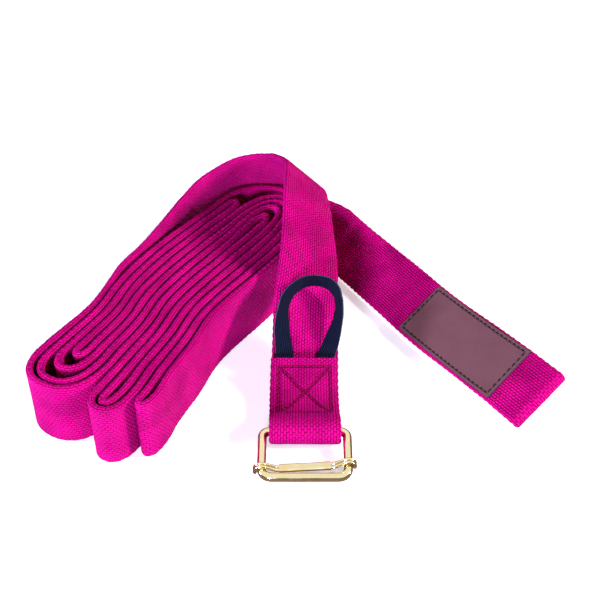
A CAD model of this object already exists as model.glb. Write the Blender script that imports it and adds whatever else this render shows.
import math

import bpy
import numpy as np
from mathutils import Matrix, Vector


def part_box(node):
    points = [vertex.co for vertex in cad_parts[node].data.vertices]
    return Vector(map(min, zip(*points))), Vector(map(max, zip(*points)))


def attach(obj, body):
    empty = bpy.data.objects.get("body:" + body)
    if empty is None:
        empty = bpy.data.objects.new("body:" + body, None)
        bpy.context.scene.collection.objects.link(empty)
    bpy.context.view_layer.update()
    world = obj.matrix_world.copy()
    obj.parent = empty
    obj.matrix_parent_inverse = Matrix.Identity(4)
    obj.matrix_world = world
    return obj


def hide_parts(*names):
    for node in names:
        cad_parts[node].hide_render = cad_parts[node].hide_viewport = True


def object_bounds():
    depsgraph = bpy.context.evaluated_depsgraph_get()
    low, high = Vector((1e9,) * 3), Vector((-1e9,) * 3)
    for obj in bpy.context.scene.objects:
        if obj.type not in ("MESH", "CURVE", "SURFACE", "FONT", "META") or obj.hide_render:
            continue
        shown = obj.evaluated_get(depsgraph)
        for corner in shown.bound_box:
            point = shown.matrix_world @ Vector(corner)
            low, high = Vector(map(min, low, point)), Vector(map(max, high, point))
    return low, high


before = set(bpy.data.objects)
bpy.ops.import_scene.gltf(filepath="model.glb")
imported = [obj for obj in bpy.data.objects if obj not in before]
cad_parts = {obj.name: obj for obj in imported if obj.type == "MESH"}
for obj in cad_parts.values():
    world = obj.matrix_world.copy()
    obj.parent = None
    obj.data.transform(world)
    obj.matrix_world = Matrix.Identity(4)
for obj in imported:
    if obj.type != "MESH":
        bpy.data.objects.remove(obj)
cad_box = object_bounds()

# ---- Camera ----
# A 60 mm lens on 36 mm film, 0.6 m away, at the eye of someone who stands at the table and
# looks down on the strap.
mm = 0.001
eye = (0, -461.8 * mm, 376.3 * mm)
eye_tilt = 52.7
lens = 60
film_w = 36
bpy.ops.object.select_all(action="DESELECT")
bpy.ops.object.camera_add(location=eye, rotation=(math.radians(eye_tilt), 0, 0))
camera = bpy.context.object
camera.data.lens = lens
camera.data.sensor_width = film_w
bpy.context.scene.camera = camera
bpy.context.scene.view_settings.view_transform = "Standard"

# ---- Webbing ----
# One length of thick cotton webbing, woven on a narrow loom and dyed raspberry. It is folded
# to and fro into a hank that stands on its edge. One end is turned under as a hem, and the
# other goes round the buckle's top bar and is sewn down on itself.
webbing_w = 38
webbing_t = 3.8
edge_round = 1.7
seam_gap = 0.35
hem_l = 17
bar_y = -121.8
lay_z = 2
over_z = lay_z + webbing_t + seam_gap
loop_r = 4.6
bar_z = lay_z + loop_r
strap_x = 2.5
flat = 90
nearly_flat = 89.9
ring_step = 1.25
webbing_flats = 8
hem_turn_steps = 12

# The hank's runs are numbered from the back, 1, to the front, 14. u goes along them and v
# across them, in millimetres, and a station gives u, v of run 2 and the gap between runs.
hank_angle = math.radians(60)
hank_start = (-100, -60)
stations = [(-50, -10.5, 1.9), (-25, -11.2, 1.6), (0, -12.3, 1.4), (25, -18, 1.5),
            (50, -20.5, 1.75), (75, -20, 1.85), (100, -18.5, 1.8), (120, -16.5, 1.75)]
station_step = 25
last_station = 100
back_run = 1
measured_run = 2
front_run = 14
run_order = [14, 13, 2, 7, 10, 11, 6, 3, 4, 5, 12, 9, 8, 1]
# Each fold joins a lower and a higher run: where each of the two starts to turn, how far the
# fold reaches, and how much it swells
left_folds = [(13, 14, -46, -46, -52, 0), (2, 7, -40, -40, -60.3, 0),
              (10, 11, -53, -53, -60.3, 0), (3, 6, -36, -36, -50, 0),
              (4, 5, -32, -32, -38, 0), (9, 12, -52, -52, -65, 0), (1, 8, -42, -42, -65, 0)]
right_folds = [(2, 13, 118, 92, 158, 0.8), (7, 10, 98, 98, 138, 1.6),
               (6, 11, 106, 98, 144.5, 0.9), (3, 4, 126, 126, 131, 0),
               (5, 12, 112, 97, 150.5, 0), (8, 9, 88, 88, 127.5, 2.3)]
fold_power = 0.85
fold_room = 6
fold_steps = 5
front_run_end = 94
back_run_us = [-25, 0, 20]

# The route outside the hank: x, y and z of the webbing's middle, and how far its width leans
# from upright, in degrees
label_arm = [(124.4, -105.1, 15.8, 58), (113.9, -89.1, 15.5, 58), (104.5, -75, 14.4, 57),
             (88, -50, 12.9, 57), (71, -24.2, 12.3, 57), (55.5, 1.5, 12.1, 57),
             (40, 27, 12, 57)]
front_bend = [(33.5, 35, 12.9, 52), (27.5, 43, 14, 45), (21.8, 49.8, 17.3, 25),
              (15.8, 54.4, 18.9, 8), (10.4, 54.8, 19, 0), (7.3, 50.2, 19, 0),
              (6.5, 43.5, 19, 0), (5.5, 36, 19, 0), (3, 25, 19, 0), (-1.5, 13.5, 19, 0)]
back_rise = [(-103.8, -12.5, 19, 0), (-95, 5.5, 20.5, 3), (-85.5, 25.5, 25, 8),
             (-76, 46, 30, 13), (-65.7, 62, 34.7, 16), (-54.7, 71.7, 38.3, 19),
             (-43.5, 77, 41.6, 21), (-31, 78.5, 44.3, 22), (-20.5, 77.5, 46.2, 24),
             (-11, 74.7, 48.7, 30), (-2.8, 68.4, 51.4, 39)]
buckle_arm = [(2.8, 60, 53, 43.5), (4, 50, 54, 45), (4.7, 35, 54.8, 48), (5, 20, 53, 51),
              (5.3, 0, 48, 56), (5.2, -15, 41.5, 62), (4.5, -28, 34, 69),
              (3.5, -40, 26.8, 75), (3, -52, 19.2, 80), (2.7, -64, 12, 86),
              (strap_x, -76, 6.2, flat), (strap_x, -88, 2.9, flat),
              (strap_x, -100, lay_z, flat), (strap_x, -110, lay_z, flat)]
bar_turn_step = 22.5
return_end = [(strap_x, -117, 10.7, flat), (strap_x, -112, 8, flat),
              (strap_x, -106, over_z, flat), (strap_x, -98, over_z + 0.15, flat),
              (strap_x, -90, over_z + 0.8, flat), (strap_x, -84, 9, flat),
              (strap_x, -78, 11.5, flat), (strap_x, -73, 14.5, flat)]


def run_v(run, u):
    us, vs, gaps = zip(*stations)
    layer = webbing_t + np.interp(u, us, gaps)
    return np.interp(u, us, vs) + (run - measured_run) * layer


def on_plan(u, v):
    x = hank_start[0] + u * math.cos(hank_angle) + v * math.sin(hank_angle)
    y = hank_start[1] + u * math.sin(hank_angle) - v * math.cos(hank_angle)
    return (x, y, webbing_w / 2, 0)


def fold_start(run, folds):
    return [f[2] if f[0] == run else f[3] for f in folds if run in f[:2]][0]


def run_points(run, leftward):
    low = fold_start(run, left_folds) + fold_room
    high = front_run_end if run == front_run else fold_start(run, right_folds) - fold_room
    us = [u for u in range(-station_step, last_station + 1, station_step) if low < u < high]
    return [on_plan(u, run_v(run, u)) for u in (reversed(us) if leftward else us)]


def fold_points(a, b, folds):
    """The turn from run a to run b, a little squarer than half a circle."""
    lower, higher, reach, swell = [f[2:] for f in folds if set(f[:2]) == {a, b}][0]
    start_a, start_b = (lower, higher) if a < b else (higher, lower)
    va = run_v(a, start_a)
    vb = run_v(b, start_b)
    side = math.copysign(1, va - vb)
    steps = fold_steps + abs(a - b)
    points = []
    for k in range(steps + 1):
        turn = math.pi * k / steps
        start = start_a if 2 * k <= steps else start_b
        half = abs(va - vb) / 2 + swell * math.sin(turn)
        u = start + (reach - start) * abs(math.sin(turn)) ** fold_power
        across = math.copysign(abs(math.cos(turn)) ** fold_power, math.cos(turn))
        points.append(on_plan(u, (va + vb) / 2 + side * half * across))
    return points


def webbing_route():
    route = label_arm + front_bend
    for k, (run, following) in enumerate(zip(run_order, run_order[1:])):
        leftward = k % 2 == 0
        route = route + run_points(run, leftward)
        route = route + fold_points(run, following, left_folds if leftward else right_folds)
    route = route + [on_plan(u, run_v(back_run, u)) for u in back_run_us]
    route = route + back_rise + buckle_arm
    for a in np.radians(np.arange(-90, 91, bar_turn_step)):
        route.append((strap_x, bar_y - loop_r * math.cos(a), bar_z + loop_r * math.sin(a), flat))
    return np.array(route + return_end)


def unit(vectors):
    return vectors / np.linalg.norm(vectors, axis=-1, keepdims=True)


def smooth_line(points, step):
    """A smooth line through a route's points: its places, directions, widths and normals."""
    chords = np.linalg.norm(np.diff(points[:, :3], axis=0), axis=1)[:, None]
    rates = np.diff(points, axis=0) / chords
    slopes = np.vstack([rates[:1],
                        (rates[:-1] * chords[1:] + rates[1:] * chords[:-1])
                        / (chords[:-1] + chords[1:]), rates[-1:]])
    places, directions = [], []
    for i, d in enumerate(chords[:, 0]):
        last = i == len(chords) - 1
        s = np.linspace(0, 1, math.ceil(d / step) + 1)[:None if last else -1, None]
        p, q, m, n = points[i], points[i + 1], slopes[i], slopes[i + 1]
        places.append(p * (2 * s**3 - 3 * s**2 + 1) + q * (3 * s**2 - 2 * s**3)
                      + d * (m * (s**3 - 2 * s**2 + s) + n * (s**3 - s**2)))
        directions.append((q - p) * (6 * s - 6 * s**2) / d + m * (3 * s**2 - 4 * s + 1)
                          + n * (3 * s**2 - 2 * s))
    places = np.vstack(places)
    along = unit(np.vstack(directions)[:, :3])
    lean = np.radians(places[:, 3:])
    sides = np.cross(along, (0, 0, 1))
    sides[places[:, 3] > nearly_flat] = (-1, 0, 0)
    sides = unit(sides)
    across = np.cross(sides, along) * np.cos(lean) + sides * np.sin(lean)
    return np.stack([places[:, :3], along, across, np.cross(along, across)])


def lengths(line):
    steps = np.linalg.norm(np.diff(line[0], axis=0), axis=1)
    return np.concatenate([[0], np.cumsum(steps)])


def with_hem(line, step):
    """Adds the hem under a line's first end: a flat flap and the half turn that joins it."""
    place, along, across, normal = line[:, 0]
    depth = webbing_t + seam_gap
    flap = np.linspace(hem_l, 0, math.ceil(hem_l / step), endpoint=False)[:, None]
    turn = np.linspace(0, math.pi, hem_turn_steps, endpoint=False)[:, None]
    ones = np.ones((len(flap) + len(turn), 1))
    places = np.vstack([place + normal * depth + along * flap,
                        place + normal * depth / 2 * (1 + np.cos(turn))
                        - along * depth / 2 * np.sin(turn)])
    directions = np.vstack([-along * np.ones_like(flap),
                            -along * np.cos(turn) - normal * np.sin(turn)])
    hem = np.stack([places, directions, across * ones, np.cross(directions, across * ones)])
    return np.concatenate([hem, line], axis=1)


def rims(line, width, thickness):
    """The four long edges of a ribbon along a line."""
    return np.vstack([line[0] + line[2] * i * width / 2 + line[3] * k * thickness / 2
                      for i in (-1, 1) for k in (-1, 1)])


# The CAD webbing's box settles where the origin is, from the same line at its coarser step
cad_step = 12
cad_low, cad_high = (np.array(c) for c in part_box("webbing"))
cad_rims = rims(with_hem(smooth_line(webbing_route(), cad_step), hem_l), webbing_w, webbing_t)
origin = (cad_rims.min(axis=0) + cad_rims.max(axis=0)) / 2 - (cad_low + cad_high) / 2 / mm
origin[2] = 0
webbing_line = smooth_line(webbing_route(), ring_step)
webbing_at = lengths(webbing_line)
hemmed_line = with_hem(webbing_line, ring_step)
webbing_length = lengths(hemmed_line)[-1]


def finish(piece, angle=50):
    """Turns a piece's faces outwards and shades its gentle edges smooth."""
    bpy.ops.object.select_all(action="DESELECT")
    piece.select_set(True)
    bpy.context.view_layer.objects.active = piece
    bpy.ops.object.mode_set(mode="EDIT")
    bpy.ops.mesh.select_all(action="SELECT")
    bpy.ops.mesh.normals_make_consistent(inside=False)
    bpy.ops.object.mode_set(mode="OBJECT")
    bpy.ops.object.shade_smooth_by_angle(angle=math.radians(angle))


def ribbon(name, line, profile, uneven):
    """A closed ribbon along a line. profile goes round its section as (across, up), and the
    UV map holds the distance round the section and along the ribbon, in metres. The two ends
    are mapped flat, a webbing's width aside."""
    at = lengths(line)
    profile = np.array(profile)
    round_it = np.linalg.norm(np.diff(np.vstack([profile, profile[:1]]), axis=0), axis=1)
    round_it = np.concatenate([[0], np.cumsum(round_it)])
    n = len(profile)
    shift = uneven(at[:, None], profile[None, :, 0], profile[None, :, 1])
    across = profile[None, :, 0] + shift[0]
    up = profile[None, :, 1] + shift[1]
    points = (line[0][:, None] - origin + line[2][:, None] * across[..., None]
              + line[3][:, None] * up[..., None]) * mm
    faces = [(i * n + j, i * n + (j + 1) % n, (i + 1) * n + (j + 1) % n, (i + 1) * n + j)
             for i in range(len(at) - 1) for j in range(n)]
    last = (len(at) - 1) * n
    caps = [tuple(range(n))[::-1], tuple(range(last, last + n))]
    mesh = bpy.data.meshes.new(name)
    mesh.from_pydata(points.reshape(-1, 3).tolist(), [], faces + caps)
    uv = [(round_it[j + a], at[i + b]) for i in range(len(at) - 1) for j in range(n)
          for a, b in ((0, 0), (1, 0), (1, 1), (0, 1))]
    uv += [(p[0] + webbing_w, p[1]) for p in profile[::-1]]
    uv += [(p[0] + webbing_w, at[-1] + p[1]) for p in profile]
    layer = mesh.uv_layers.new(name="weave")
    layer.data.foreach_set("uv", (np.array(uv) * mm).ravel())
    piece = bpy.data.objects.new(name, mesh)
    bpy.context.collection.objects.link(piece)
    finish(piece)
    return piece


def section(width, thickness, edge, flats):
    """A ribbon's section: two flat faces between two round edges."""
    inner = width / 2 - edge
    right = [(inner + edge * math.cos(a), thickness / 2 * math.sin(a))
             for a in np.radians([0, 30, 60, 90])]
    middle = [(x, thickness / 2) for x in np.linspace(inner, -inner, flats + 1)[1:-1]]
    half = right + middle + [(-x, y) for x, y in right[:0:-1]]
    return half + [(-x, -y) for x, y in half]


selvage_pull = 0.2
selvage_waver = 0.22
selvage_in = 0.3
face_swell = 0.1


def webbing_unevenness(at, across, up):
    """Woven selvages draw in between picks, and a thick tape is never quite even."""
    edge = (np.abs(across) / (webbing_w / 2)) ** 6 * np.sign(across)
    pull = selvage_pull * np.sin(at * 1.45 + 0.6 * np.sin(at / 9))
    waver = selvage_waver * np.sin(at / 11 + across / 12)
    swell = face_swell * np.sin(at / 3.1 + across / 2.7) * np.sin(at / 7.7 - across / 4.1)
    return edge * (pull + waver - selvage_in), np.sign(up) * swell


webbing = ribbon("webbing_tape", hemmed_line,
                 section(webbing_w, webbing_t, edge_round, webbing_flats), webbing_unevenness)


def linear(hex_colour):
    """An sRGB hex colour as Blender's linear one."""
    srgb = [int(hex_colour[i:i + 2], 16) / 255 for i in (1, 3, 5)]
    return [c / 12.92 if c <= 0.04045 else ((c + 0.055) / 1.055) ** 2.4 for c in srgb] + [1]


def add_node(tree, kind, sockets=(), **settings):
    """Adds a node. sockets gives each input's value, or the output that feeds it."""
    node = tree.nodes.new("ShaderNode" + kind)
    for name, value in settings.items():
        setattr(node, name, value)
    for socket, value in dict(sockets).items():
        if isinstance(value, bpy.types.NodeSocket):
            tree.links.new(value, node.inputs[socket])
        else:
            node.inputs[socket].default_value = value
    return node


def new_material(name):
    material = bpy.data.materials.new(name)
    material.use_nodes = True
    material.node_tree.nodes.clear()
    return material, material.node_tree


def give(piece, material):
    piece.data.materials.clear()
    piece.data.materials.append(material)


# The box seam pulls the cotton down, so its place is needed here. edge_girth is the way round
# the section from its side to its flat face.
box_l = 34
box_w = 28
box_from_end = 5
box_inset = 2
box_start = webbing_at[-1] - box_from_end - box_l
box_end = webbing_at[-1] - box_from_end
edge_girth = 2.83
sunk_inner = 0.1 * mm
sunk_outer = 1.3 * mm
sunk_most = 0.75


def sewn_down(tree, split):
    """How far the box seam and its cross pull the cotton down: sunk_most on them, 0 off them."""
    hem_and_turn = webbing_length - webbing_at[-1]
    middle_round = webbing_w / 2 - edge_round + edge_girth
    offsets = []
    for axis, middle in (("X", middle_round), ("Y", hem_and_turn + (box_start + box_end) / 2)):
        off = add_node(tree, "Math", {0: split.outputs[axis], 1: middle * mm},
                       operation="SUBTRACT").outputs[0]
        offsets.append(add_node(tree, "Math", {0: off}, operation="ABSOLUTE").outputs[0])
    outside = [add_node(tree, "Math", {0: off, 1: size / 2 * mm}, operation="SUBTRACT").outputs[0]
               for off, size in zip(offsets, (box_w, box_l))]
    box = add_node(tree, "Math", {0: outside[0], 1: outside[1]}, operation="MAXIMUM").outputs[0]
    from_box = add_node(tree, "Math", {0: box}, operation="ABSOLUTE").outputs[0]
    steepness = (box_w / 2 - box_inset) / (box_l / 2 - box_inset)
    sloped = add_node(tree, "Math", {0: offsets[1], 1: -steepness, 2: offsets[0]},
                      operation="MULTIPLY_ADD").outputs[0]
    off_cross = add_node(tree, "Math", {0: sloped}, operation="ABSOLUTE").outputs[0]
    upright = add_node(tree, "Math", {0: off_cross, 1: math.cos(math.atan(steepness))},
                       operation="MULTIPLY").outputs[0]
    from_cross = add_node(tree, "Math", {0: upright, 1: box}, operation="MAXIMUM").outputs[0]
    nearest = add_node(tree, "Math", {0: from_box, 1: from_cross},
                       operation="MINIMUM").outputs[0]
    return add_node(tree, "MapRange",
                    {0: nearest, 1: sunk_inner, 2: sunk_outer, 3: sunk_most, 4: 0},
                    interpolation_type="SMOOTHSTEP").outputs[0]


yarn_pitch = 1.52 * mm
float_pitch = 2.1 * mm
yarn_height = 0.6 * mm
yarn_fullness = 0.6
fuzz_size = 0.7 * mm
fuzz = 0.8
wander_size = 7 * mm
wander_by = 0.9
patch_size = 24 * mm
seam_sink = 1.6
dip = "#4e021f"
yarn = "#9c0446"
bloom = "#d00c80"


def woven_cotton():
    # Cotton webbing: thick two-ply warp yarns, 1.5 mm apart, that float over the weft and dip
    # under it in turn, so its faces are rows of staggered knots. Loose fibres give it a soft
    # bloom. One fibre is too fine to show, so they are drawn as tufts 0.7 mm wide.
    material, tree = new_material("Woven cotton webbing")
    uv = add_node(tree, "UVMap", uv_map="weave").outputs["UV"]
    split = add_node(tree, "SeparateXYZ", {0: uv})
    wander = add_node(tree, "TexNoise", {"Vector": uv, "Scale": 1 / wander_size, "Detail": 2})
    drift = add_node(tree, "Math", {0: wander.outputs["Fac"], 1: wander_by},
                     operation="MULTIPLY")
    column = add_node(tree, "Math", {0: split.outputs["X"], 1: yarn_pitch},
                      operation="DIVIDE").outputs[0]
    column_n = add_node(tree, "Math", {0: column}, operation="FLOOR").outputs[0]
    odd = add_node(tree, "Math", {0: column_n, 1: 2}, operation="FLOORED_MODULO").outputs[0]
    stagger = add_node(tree, "Math", {0: odd, 1: 0.5, 2: drift.outputs[0]},
                       operation="MULTIPLY_ADD").outputs[0]
    knot = add_node(tree, "Math", {0: split.outputs["Y"], 1: 1 / float_pitch, 2: stagger},
                    operation="MULTIPLY_ADD").outputs[0]
    rounds = []
    for phase in (column, knot):
        part = add_node(tree, "Math", {0: phase}, operation="FRACT").outputs[0]
        rest = add_node(tree, "Math", {0: 1, 1: part}, operation="SUBTRACT").outputs[0]
        hump = add_node(tree, "Math", {0: part, 1: rest}, operation="MULTIPLY").outputs[0]
        rounds.append(add_node(tree, "Math", {0: hump, 1: 4}, operation="MULTIPLY").outputs[0])
    dips = add_node(tree, "Math", {0: rounds[1], 1: 0.9, 2: 0.1},
                    operation="MULTIPLY_ADD").outputs[0]
    knots = add_node(tree, "Math", {0: rounds[0], 1: dips}, operation="MULTIPLY").outputs[0]
    relief = add_node(tree, "Math", {0: knots, 1: yarn_fullness}, operation="POWER").outputs[0]
    tufts = add_node(tree, "TexNoise", {"Vector": uv, "Scale": 1 / fuzz_size, "Detail": 3})
    fuzzy = add_node(tree, "Math", {0: tufts.outputs["Fac"], 1: fuzz, 2: relief},
                     operation="MULTIPLY_ADD").outputs[0]
    patches = add_node(tree, "TexNoise", {"Vector": uv, "Scale": 1 / patch_size, "Detail": 3})
    worn = add_node(tree, "ValToRGB", {0: patches.outputs["Fac"]})
    worn.color_ramp.elements[0].position = 0.35
    worn.color_ramp.elements[0].color = linear("#d0c6d0")
    worn.color_ramp.elements[1].position = 0.7
    worn.color_ramp.elements[1].color = linear("#ffffff")
    shades = add_node(tree, "ValToRGB", {0: fuzzy})
    shades.color_ramp.elements[0].position = 0.3
    shades.color_ramp.elements[0].color = linear(dip)
    shades.color_ramp.elements[1].position = 0.8
    shades.color_ramp.elements[1].color = linear(yarn)
    top = shades.color_ramp.elements.new(1)
    top.color = linear(bloom)
    colour = add_node(tree, "Mix", {0: 1, 6: shades.outputs[0], 7: worn.outputs[0]},
                      data_type="RGBA", blend_type="MULTIPLY").outputs[2]
    sunk = sewn_down(tree, split)
    pressed = add_node(tree, "Mix", {0: sunk, 6: colour, 7: linear(dip)},
                       data_type="RGBA").outputs[2]
    height = add_node(tree, "Math", {0: sunk, 1: -seam_sink, 2: fuzzy},
                      operation="MULTIPLY_ADD").outputs[0]
    bump = add_node(tree, "Bump", {"Height": height, "Strength": 1, "Distance": yarn_height})
    shader = add_node(tree, "BsdfPrincipled",
                      {"Base Color": pressed, "Roughness": 0.7, "Specular IOR Level": 0.05,
                       "Specular Tint": linear("#ff20ff"), "Sheen Weight": 0.1,
                       "Sheen Roughness": 0.4, "Sheen Tint": linear("#ff30f0"),
                       "Normal": bump.outputs[0]})
    add_node(tree, "OutputMaterial", {"Surface": shader.outputs[0]})
    return material


give(webbing, woven_cotton())
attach(webbing, "strap")
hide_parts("webbing")

# ---- Elastic loop ----
# A short piece of 10 mm braided elastic, navy with a darker rib on every cord of rubber. Both
# its ends are caught between the two layers of webbing in the buckle's seam, side by side.
elastic_w = 10
elastic_t = 0.9
elastic_edge = elastic_t / 2
elastic_flats = 12
elastic_step = 0.8
elastic_route = [(-8, -84, 6.45, -flat), (-8, -78, 8.3, -flat), (-8, -73, 10.6, -88),
                 (-8.2, -70, 12.5, -86), (-9, -65, 16.4, -80), (-10, -59.5, 22.8, -62),
                 (-9.7, -52, 30, -35), (-8.2, -46, 35, -15), (-4.8, -41.3, 38, 0),
                 (-0.6, -38, 40, 10), (4, -36.2, 41, 15), (8.5, -35.8, 41.2, 16),
                 (13, -36.2, 40.8, 15), (17.3, -37.5, 39.5, 8), (20.7, -40.5, 36.8, -2),
                 (22.1, -44.5, 33, -17), (21.8, -50.5, 28, -37), (19.4, -58, 21.8, -62),
                 (16.8, -64, 16.6, -82), (14.4, -69.5, 12.6, -87), (13.5, -73, 10.6, -88),
                 (13, -78, 8.3, -flat), (13, -84, 6.45, -flat)]


def elastic_unevenness(at, across, up):
    """The rubber cords swell and shrink a little between their crossings."""
    return np.zeros_like(at + across), 0.03 * np.sin(at / 1.9) * np.sign(up)


elastic_line = smooth_line(np.array(elastic_route), elastic_step)
elastic = ribbon("elastic_band", elastic_line,
                 section(elastic_w, elastic_t, elastic_edge, elastic_flats), elastic_unevenness)
rib_pitch = 1.1 * mm
rib_height = 0.5 * mm
cover_pitch = 0.7 * mm
cover_relief = 0.25


def braided_elastic():
    # Braided elastic: lengthwise ribs 1.1 mm apart over the rubber, matt and darker between
    # them, crossed by fine cover threads, with a thin paler thread along one rim
    material, tree = new_material("Braided elastic")
    uv = add_node(tree, "UVMap", uv_map="weave").outputs["UV"]
    split = add_node(tree, "SeparateXYZ", {0: uv})
    ribs = add_node(tree, "Math", {0: split.outputs["X"], 1: math.tau / rib_pitch},
                    operation="MULTIPLY").outputs[0]
    wave = add_node(tree, "Math", {0: ribs}, operation="SINE").outputs[0]
    threads = add_node(tree, "Math", {0: split.outputs["Y"], 1: math.tau / cover_pitch},
                       operation="MULTIPLY").outputs[0]
    cross = add_node(tree, "Math", {0: threads}, operation="SINE").outputs[0]
    relief = add_node(tree, "Math", {0: cross, 1: cover_relief, 2: wave},
                      operation="MULTIPLY_ADD").outputs[0]
    shades = add_node(tree, "MapRange", {0: relief, 1: -1.2, 2: 1.2}).outputs[0]
    colour = add_node(tree, "Mix", {0: shades, 6: linear("#000104"), 7: linear("#101a36")},
                      data_type="RGBA").outputs[2]
    off_rim = add_node(tree, "Math", {0: split.outputs["X"], 1: elastic_w * mm},
                       operation="PINGPONG").outputs[0]
    rim = add_node(tree, "MapRange",
                   {0: off_rim, 1: 0, 2: elastic_edge * mm, 3: 1, 4: 0}).outputs[0]
    colour = add_node(tree, "Mix", {0: rim, 6: colour, 7: linear("#465866")},
                      data_type="RGBA").outputs[2]
    bump = add_node(tree, "Bump", {"Height": shades, "Strength": 1, "Distance": rib_height})
    shader = add_node(tree, "BsdfPrincipled",
                      {"Base Color": colour, "Roughness": 0.7, "Specular IOR Level": 0.06,
                       "Sheen Weight": 0.01, "Sheen Roughness": 0.4,
                       "Sheen Tint": linear("#8fa0d8"),
                       "Normal": bump.outputs[0]})
    add_node(tree, "OutputMaterial", {"Surface": shader.outputs[0]})
    return material


give(elastic, braided_elastic())
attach(elastic, "strap")
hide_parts("elastic_loop")

# ---- Seams in the webbing ----
# Thick polyester thread in the webbing's own colour, sewn by machine: a box with a cross
# through both layers behind the buckle, and one row across the hem. Each stitch bulges
# between two needle holes, where the thread is pulled down into the cotton.
thread_t = 0.6
stitch_pitch = 3.4
stitch_l = stitch_pitch * 0.5
hole_reach = stitch_pitch * 0.12
hole_depth = thread_t * 0.7
ply_size = 2.2 * mm
ply_height = 0.1 * mm
sewn_gap = 0.1
box_lift = 0.1
hem_inset = 2


def on_webbing(local, start, face):
    """Lays points (along, across, up), in millimetres, on a face of the webbing."""
    at = start + local[:, 0]
    place, along, across, normal = (
        np.stack([np.interp(at, webbing_at, part[:, axis]) for axis in range(3)], axis=1)
        for part in webbing_line)
    return (place - origin + across * local[:, 1:2] * face + normal * local[:, 2:] * face) * mm


def model_stitch():
    """One stitch in millimetres: a short thread whose two ends dive into their holes."""
    bpy.ops.object.select_all(action="DESELECT")
    bpy.ops.mesh.primitive_cylinder_add(vertices=6, radius=thread_t / 2, depth=stitch_l,
                                        end_fill_type="NOTHING",
                                        rotation=(0, math.pi / 2, 0))
    stitch = bpy.context.object
    bpy.ops.object.transform_apply(rotation=True)
    bpy.ops.object.mode_set(mode="EDIT")
    bpy.ops.mesh.select_all(action="SELECT")
    bpy.ops.mesh.bisect(plane_co=(0, 0, 0), plane_no=(1, 0, 0))
    bpy.ops.object.mode_set(mode="OBJECT")
    for side in (-1, 1):
        bpy.ops.object.mode_set(mode="EDIT")
        bpy.ops.mesh.select_all(action="DESELECT")
        bpy.ops.mesh.select_mode(type="VERT")
        bpy.ops.object.mode_set(mode="OBJECT")
        for vertex in stitch.data.vertices:
            vertex.select = vertex.co.x * side > stitch_l / 4
        bpy.ops.object.mode_set(mode="EDIT")
        bpy.ops.mesh.extrude_region_move(
            TRANSFORM_OT_translate={"value": (side * hole_reach, 0, -hole_depth)})
        bpy.ops.mesh.edge_face_add()
        bpy.ops.object.mode_set(mode="OBJECT")
    return stitch


def sew(name, rows, face, height):
    """Copies the stitch along rows, each (from, to) as (along, across), and joins them."""
    base = np.array([tuple(v.co) for v in one_stitch.data.vertices])
    copies = []
    for start, end in rows:
        start = np.array(start)
        run = np.array(end) - start
        count = 2 * round(math.hypot(*run) / stitch_pitch / 2)
        turn = math.atan2(run[1], run[0])
        for k in range(count):
            middle = start + run * (k + 0.5) / count
            copy = one_stitch.copy()
            copy.data = one_stitch.data.copy()
            bpy.context.collection.objects.link(copy)
            local = np.stack([base[:, 0] * math.cos(turn) - base[:, 1] * math.sin(turn),
                              base[:, 0] * math.sin(turn) + base[:, 1] * math.cos(turn),
                              base[:, 2] + height], axis=1) + (0, middle[1], 0)
            copy.data.vertices.foreach_set("co", on_webbing(local, middle[0], face).ravel())
            copies.append(copy)
    bpy.ops.object.select_all(action="DESELECT")
    for copy in copies:
        copy.select_set(True)
    bpy.context.view_layer.objects.active = copies[0]
    bpy.ops.object.join()
    seam = bpy.context.object
    seam.name = name
    finish(seam, angle=80)
    return seam


def box_rows(start, end, half_w):
    """The four rows of a box seam, from start to end along the webbing."""
    return [((start, -half_w), (end, -half_w)), ((start, half_w), (end, half_w)),
            ((start, -half_w), (start, half_w)), ((end, -half_w), (end, half_w))]


def sewing_thread(name, shade, light):
    # Twisted polyester thread: a fine spiral of two plies, with none of the cotton's fuzz and
    # the least bit of shine
    material, tree = new_material(name)
    place = add_node(tree, "TexCoord").outputs["Object"]
    twist = add_node(tree, "TexWave", {"Vector": place, "Scale": 1 / ply_size,
                                       "Distortion": 2}, bands_direction="DIAGONAL")
    colour = add_node(tree, "Mix", {0: twist.outputs["Fac"], 6: linear(shade),
                                    7: linear(light)}, data_type="RGBA").outputs[2]
    bump = add_node(tree, "Bump", {"Height": twist.outputs["Fac"], "Strength": 0.6,
                                   "Distance": ply_height})
    shader = add_node(tree, "BsdfPrincipled", {"Base Color": colour, "Roughness": 0.8,
                                               "Specular IOR Level": 0.15,
                                               "Normal": bump.outputs[0]})
    add_node(tree, "OutputMaterial", {"Surface": shader.outputs[0]})
    return material


one_stitch = model_stitch()
raspberry_thread = sewing_thread("Raspberry polyester thread", "#780334", "#960444")
cross_w = box_w / 2 - box_inset
cross = [((box_start + box_inset, s * cross_w), (box_end - box_inset, -s * cross_w))
         for s in (-1, 1)]
box_seam = sew("box_seam", box_rows(box_start, box_end, box_w / 2) + cross, 1,
               webbing_t / 2 + sewn_gap + box_lift)
give(box_seam, raspberry_thread)
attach(box_seam, "strap")
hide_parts("box_x_stitching")

hem_at = hem_l - hem_inset
hem_half_w = webbing_w / 2 - hem_inset
hem_row = [((hem_at, -hem_half_w), (hem_at, hem_half_w))]
hem_seam = sew("hem_seam", hem_row, -1, webbing_t / 2 + sewn_gap)
give(hem_seam, raspberry_thread)
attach(hem_seam, "strap")
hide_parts("hem_stitching")

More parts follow.
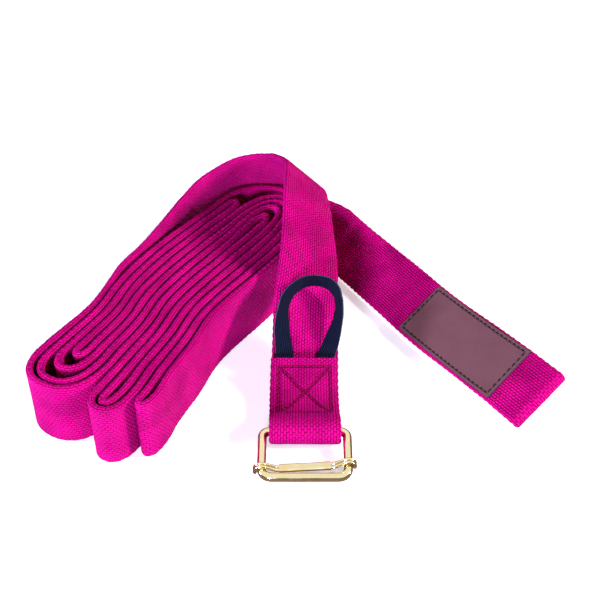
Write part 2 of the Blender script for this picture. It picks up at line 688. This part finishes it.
# ---- Label ----
# A bare patch of mauve-brown leatherette, cut with a hot die that rounds and darkens its
# edge, and sewn to the webbing all round, 2 mm in from the edge.
label_l = 77
label_w = 34.5
label_t = 1.2
label_from_end = 19
label_margin = 2
label_round = 0.35
label_step = 2.2
label_seam_lift = 0.15
grain_size = 0.9 * mm
grain_depth = 0.35 * mm
groove_w = 0.8 * mm
burnt_w = 0.5 * mm
blotch_size = 14 * mm


def model_label():
    """The patch in millimetres: a slab with a rounded edge, fine enough to follow the tape."""
    bpy.ops.object.select_all(action="DESELECT")
    bpy.ops.mesh.primitive_cube_add(size=1)
    label = bpy.context.object
    label.scale = (label_l, label_w, label_t)
    bpy.ops.object.transform_apply(scale=True)
    bpy.ops.object.mode_set(mode="EDIT")
    bpy.ops.mesh.select_all(action="SELECT")
    bpy.ops.mesh.bevel(offset=label_round, segments=3, affect="EDGES")
    for x in np.arange(label_step - label_l / 2, (label_l - label_step) / 2, label_step):
        bpy.ops.mesh.select_all(action="SELECT")
        bpy.ops.mesh.bisect(plane_co=(x, 0, 0), plane_no=(1, 0, 0))
    for y in np.arange(label_step - label_w / 2, (label_w - label_step) / 2, label_step):
        bpy.ops.mesh.select_all(action="SELECT")
        bpy.ops.mesh.bisect(plane_co=(0, y, 0), plane_no=(0, 1, 0))
    bpy.ops.object.mode_set(mode="OBJECT")
    return label


def pressed_leatherette():
    # Leatherette: a pressed grain of small pebbles, matt, with faint blotches. It sinks along
    # its seam, the margin outside the seam is duller, and the edge is burnt dark by the die.
    material, tree = new_material("Pressed leatherette")
    uv = add_node(tree, "UVMap", uv_map="patch").outputs["UV"]
    split = add_node(tree, "SeparateXYZ", {0: uv})
    to_edge = []
    for axis, size in (("X", label_l), ("Y", label_w)):
        away = add_node(tree, "Math", {0: split.outputs[axis]}, operation="ABSOLUTE").outputs[0]
        to_edge.append(add_node(tree, "Math", {0: size / 2 * mm, 1: away},
                                operation="SUBTRACT").outputs[0])
    nearest = add_node(tree, "Math", {0: to_edge[0], 1: to_edge[1]},
                       operation="MINIMUM").outputs[0]
    from_seam = add_node(tree, "Math", {0: nearest, 1: label_margin * mm},
                         operation="SUBTRACT").outputs[0]
    off_seam = add_node(tree, "Math", {0: from_seam}, operation="ABSOLUTE").outputs[0]
    groove = add_node(tree, "MapRange", {0: off_seam, 1: 0, 2: groove_w, 3: 0, 4: 1},
                      interpolation_type="SMOOTHSTEP").outputs[0]
    pebbles = add_node(tree, "TexVoronoi", {"Vector": uv, "Scale": 1 / grain_size},
                       feature="SMOOTH_F1")
    blotches = add_node(tree, "TexNoise", {"Vector": uv, "Scale": 1 / blotch_size, "Detail": 4})
    tone = add_node(tree, "Mix", {0: blotches.outputs["Fac"], 6: linear("#5b3a3f"),
                                  7: linear("#6d464b")}, data_type="RGBA").outputs[2]
    margin = add_node(tree, "MapRange", {0: nearest, 1: 1.6 * mm, 2: 2.6 * mm, 3: 1, 4: 0})
    duller = add_node(tree, "Mix", {0: margin.outputs[0], 6: tone, 7: linear("#614146")},
                      data_type="RGBA").outputs[2]
    burnt = add_node(tree, "MapRange", {0: nearest, 1: 0.05 * mm, 2: burnt_w, 3: 0.8, 4: 0})
    colour = add_node(tree, "Mix", {0: burnt.outputs[0], 6: duller, 7: linear("#1f141d")},
                      data_type="RGBA").outputs[2]
    grain = add_node(tree, "Math", {0: pebbles.outputs["Distance"], 1: -0.25, 2: groove},
                     operation="MULTIPLY_ADD").outputs[0]
    bump = add_node(tree, "Bump", {"Height": grain, "Strength": 1, "Distance": grain_depth})
    shader = add_node(tree, "BsdfPrincipled", {"Base Color": colour, "Roughness": 0.75,
                                               "Specular IOR Level": 0.2,
                                               "Normal": bump.outputs[0]})
    add_node(tree, "OutputMaterial", {"Surface": shader.outputs[0]})
    return material


label = model_label()
label.name = "label_leather"
label_local = np.array([tuple(v.co) for v in label.data.vertices])
patch_uv = label.data.uv_layers.new(name="patch")
for corner, loop in enumerate(label.data.loops):
    patch_uv.data[corner].uv = label_local[loop.vertex_index, :2] * mm
label.data.uv_layers.active = patch_uv
label_middle = label_from_end + label_l / 2
label_lift = webbing_t / 2 + sewn_gap + label_t / 2
label.data.vertices.foreach_set(
    "co", on_webbing(label_local + (0, 0, label_lift), label_middle, -1).ravel())
finish(label)
give(label, pressed_leatherette())
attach(label, "strap")
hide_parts("label_patch")

dark_thread = sewing_thread("Dark polyester thread", "#0e070c", "#2a1b24")
label_rows = box_rows(label_from_end + label_margin, label_from_end + label_l - label_margin,
                      label_w / 2 - label_margin)
label_seam = sew("label_seam", label_rows, -1,
                 webbing_t / 2 + label_t + 2 * sewn_gap + label_seam_lift)
give(label_seam, dark_thread)
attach(label_seam, "strap")
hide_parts("label_stitching")
bpy.data.objects.remove(one_stitch)

# ---- Buckle ----
# The frame is one length of steel wire, bent and butt welded. The sliding bar is a ring of
# thinner wire, squashed to two strands, hooked over the rails and held by a crimped sleeve.
# Both are gold plated and polished.
haze_size = 5 * mm
line_size = 0.8 * mm
line_depth = 0.05 * mm


def gold_plating(name, tone, roughness, scratch):
    # Gold-coloured plating over polished metal: pale yellow, nearly a mirror, with a little
    # haze and faint polishing marks, drawn coarser than real ones so that they show
    material, tree = new_material(name)
    place = add_node(tree, "TexCoord").outputs["Object"]
    haze = add_node(tree, "TexNoise", {"Vector": place, "Scale": 1 / haze_size, "Detail": 4})
    lines = add_node(tree, "TexNoise", {"Vector": place, "Scale": 1 / line_size, "Detail": 2})
    rough = add_node(tree, "MapRange", {0: haze.outputs["Fac"], 1: 0.3, 2: 0.7,
                                        3: roughness * 0.7, 4: roughness * 1.5}).outputs[0]
    colour = add_node(tree, "Mix", {0: haze.outputs["Fac"], 6: linear(tone),
                                    7: linear("#f8ecc4")}, data_type="RGBA").outputs[2]
    bump = add_node(tree, "Bump", {"Height": lines.outputs["Fac"], "Strength": scratch,
                                   "Distance": line_depth})
    shader = add_node(tree, "BsdfPrincipled", {"Base Color": colour, "Metallic": 1,
                                               "Roughness": rough,
                                               "Normal": bump.outputs[0]})
    add_node(tree, "OutputMaterial", {"Surface": shader.outputs[0]})
    return material


frame_gold = gold_plating("Polished gold plating", "#ecd99e", 0.09, 0.2)
sleeve_gold = gold_plating("Crimped gold-plated brass", "#e6d298", 0.2, 0.5)
for node, material in (("buckle_frame", frame_gold), ("slide_wire", frame_gold),
                       ("slide_sleeve", sleeve_gold)):
    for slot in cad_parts[node].material_slots:
        slot.material = material

# ---- Table and light ----
# A white table under three small lamps, one on either side and one low in front. The room is
# dim, so the folds stay dark. Only its white ceiling shows in the metal, and the table glows
# a little of itself, so that it is white all over.
table_size = 6
table_near = 0.45
table_far = 1.2
bpy.ops.object.select_all(action="DESELECT")
bpy.ops.mesh.primitive_plane_add(size=table_size, location=(0, 0, cad_box[0][2]))
table = bpy.context.object
table.name = "table"
table_white, tree = new_material("White table")
view = add_node(tree, "LightPath")
seen = add_node(tree, "Math", {0: view.outputs["Is Glossy Ray"], 1: 0.1,
                               2: view.outputs["Is Camera Ray"]},
                operation="MULTIPLY_ADD").outputs[0]
away = add_node(tree, "VectorMath", {0: add_node(tree, "TexCoord").outputs["Object"]},
                operation="LENGTH").outputs["Value"]
far = add_node(tree, "MapRange", {0: away, 1: table_near, 2: table_far, 3: 0.5, 4: 1}).outputs[0]
glow = add_node(tree, "Math", {0: seen, 1: far}, operation="MULTIPLY").outputs[0]
shade = add_node(tree, "Mix", {0: view.outputs["Is Glossy Ray"], 6: linear("#f6f4f8"),
                               7: linear("#6a5a50")}, data_type="RGBA").outputs[2]
white = add_node(tree, "BsdfDiffuse", {"Color": shade})
lift = add_node(tree, "Emission", {"Color": linear("#ffffff"), "Strength": glow})
both = add_node(tree, "AddShader", {0: white.outputs[0], 1: lift.outputs[0]})
add_node(tree, "OutputMaterial", {"Surface": both.outputs[0]})
give(table, table_white)


lamps_aim = (0, 0, 0.02)


def lamp(name, place, size, power, colour):
    bpy.ops.object.light_add(type="AREA", location=place)
    light = bpy.context.object
    light.name = name
    light.data.size = size
    light.data.energy = power
    light.data.color = linear(colour)[:3]
    aim = np.array(lamps_aim) - place
    light.rotation_euler = (math.atan2(math.hypot(aim[0], aim[1]), -aim[2]), 0,
                            math.atan2(-aim[0], aim[1]))


lamp("left_lamp", (-1.3, -0.3, 0.55), 0.35, 23, "#e8e6ff")
lamp("front_lamp", (-0.35, -1.35, 0.34), 0.3, 36, "#e4e2ff")
lamp("right_lamp", (1.35, -0.2, 0.68), 0.3, 38, "#fff8fa")

room_level = 0.04
room = bpy.data.worlds.new("White room")
bpy.context.scene.world = room
room.use_nodes = True
tree = room.node_tree
tree.nodes.clear()
view = add_node(tree, "LightPath")
skyward = add_node(tree, "SeparateXYZ", {0: add_node(tree, "TexCoord").outputs["Generated"]})
above = add_node(tree, "MapRange",
                 {0: skyward.outputs["Z"], 1: 0.3, 2: 0.5, 3: room_level, 4: 1})
glossy = add_node(tree, "Math", {0: view.outputs["Is Glossy Ray"], 1: above.outputs[0]},
                  operation="MULTIPLY").outputs[0]
seen = add_node(tree, "Math", {0: view.outputs["Is Camera Ray"], 1: glossy},
                operation="MAXIMUM").outputs[0]
level = add_node(tree, "MapRange", {0: seen, 1: 0, 2: 1, 3: room_level, 4: 1})
air = add_node(tree, "Background", {"Color": linear("#ffffff"), "Strength": level.outputs[0]})
add_node(tree, "OutputWorld", {"Surface": air.outputs[0]})
